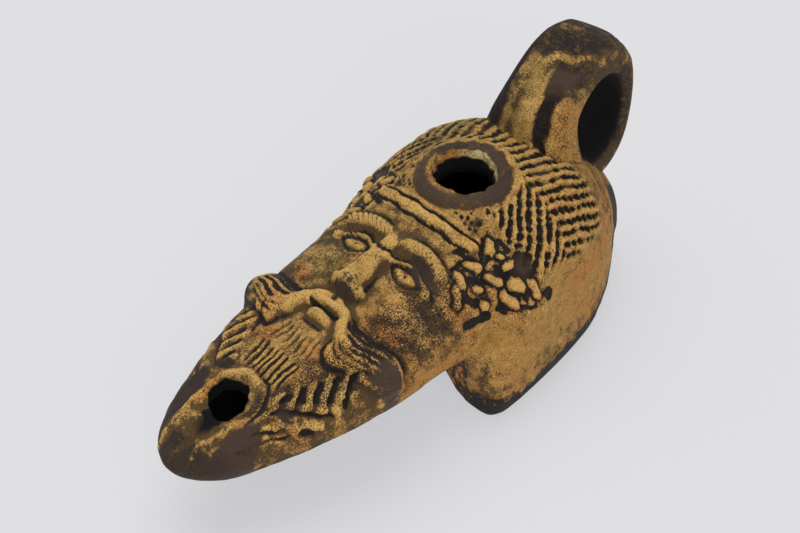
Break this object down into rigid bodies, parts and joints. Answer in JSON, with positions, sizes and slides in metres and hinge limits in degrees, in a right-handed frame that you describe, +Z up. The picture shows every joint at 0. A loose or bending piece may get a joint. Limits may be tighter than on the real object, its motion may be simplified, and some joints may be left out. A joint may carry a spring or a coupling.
{
  "type": "roman oil lamp",
  "caption": "Hollow fired-clay oil lamp shaped as a bearded head lying on its back, with a nozzle, a filling hole on the crown and a pierced ring handle.",
  "frame": {"origin": "on the ground plane, under the middle of the lamp's whole length and width", "axes": "+Z up, -Y towards the nozzle, +Y towards the handle, X across the face"},
  "size_m": [0.046, 0.1064, 0.0472],
  "materials": {
    "slipped_clay": "unglazed ochre clay with worn dark brown slip and soot"
  },
  "bodies": {
    "root": {"lamp": "slipped_clay"}
  },
  "joints": []
}
